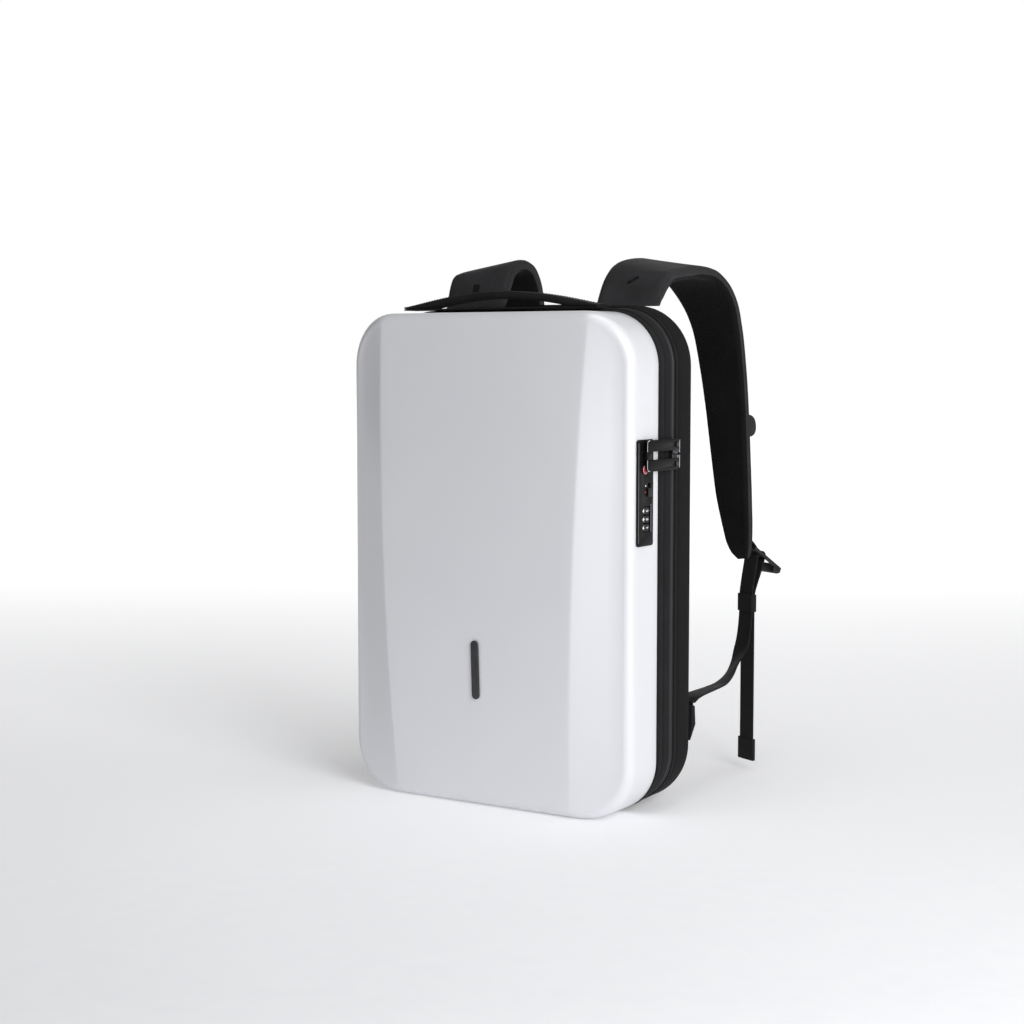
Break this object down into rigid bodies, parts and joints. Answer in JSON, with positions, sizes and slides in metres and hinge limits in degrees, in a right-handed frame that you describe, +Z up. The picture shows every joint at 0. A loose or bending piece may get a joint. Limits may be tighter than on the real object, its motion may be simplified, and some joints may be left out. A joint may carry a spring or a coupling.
{
  "type": "hard shell backpack",
  "caption": "Backpack with a domed hard front shell, padded back case, two shoulder straps, top handle and a combination lock that catches the zipper pulls.",
  "frame": {"origin": "on the ground, under the middle of the cloth gusset's flat bottom", "axes": "+X towards the side with the lock, +Y towards the wearer's back and the straps, +Z up"},
  "size_m": [0.3114, 0.323, 0.5039],
  "materials": {
    "shell": "satin pearl",
    "badge": "dark brushed",
    "cloth": "fine weave",
    "zipper": "coil",
    "pad": "padded cloth and mesh",
    "web": "webbing",
    "plastic": "moulded",
    "lock": "satin",
    "metal": "gunmetal",
    "red": "gloss"
  },
  "bodies": {
    "pack": {"front_shell": "shell", "badge": "badge", "front_trim": "cloth", "gusset": "cloth", "zipper_chain": "zipper", "zipper_tape": "cloth", "back_case": "cloth", "back_panel": "pad", "handle_base": "web", "handle_grip": "web", "shoulder_pad_right": "pad", "pad_end_web_right": "web", "ladder_buckle_right": "plastic", "adjuster_web_right": "web", "web_fold_right": "web", "web_keeper_right": "web", "corner_tab_right": "web", "strap_clip_right": "plastic", "shoulder_pad_left": "pad", "pad_end_web_left": "web", "ladder_buckle_left": "plastic", "adjuster_web_left": "web", "web_fold_left": "web", "web_keeper_left": "web", "corner_tab_left": "web", "strap_clip_left": "plastic", "lock_plate": "lock", "lock_case": "plastic", "key_ring": "red", "tab_post": "lock", "slider_upper": "metal", "pull_tab_upper": "metal", "slider_lower": "metal", "pull_tab_lower": "metal"},
    "wheel_1": {"dial_1": "plastic"},
    "wheel_2": {"dial_2": "plastic"},
    "wheel_3": {"dial_3": "plastic"},
    "button": {"lock_button": "plastic"},
    "key_core": {"key_cylinder": "metal"}
  },
  "joints": [
    {"name": "dial_1_spin", "type": "hinge", "parent": "pack", "child": "wheel_1", "pos_m": [0.1484, -0.0413, 0.2757], "axis": [0, 0, 1], "continuous": true},
    {"name": "dial_2_spin", "type": "hinge", "parent": "pack", "child": "wheel_2", "pos_m": [0.1484, -0.0413, 0.2683], "axis": [0, 0, 1], "continuous": true},
    {"name": "dial_3_spin", "type": "hinge", "parent": "pack", "child": "wheel_3", "pos_m": [0.1484, -0.0413, 0.2609], "axis": [0, 0, 1], "continuous": true},
    {"name": "button_slide", "type": "slide", "parent": "pack", "child": "button", "axis": [0, 0, 1], "range_m": [0, 0.0055]},
    {"name": "key_turn", "type": "hinge", "parent": "pack", "child": "key_core", "pos_m": [0.1545, -0.0454, 0.3117], "axis": [1, 0, 0], "range_deg": [0, 90]}
  ]
}
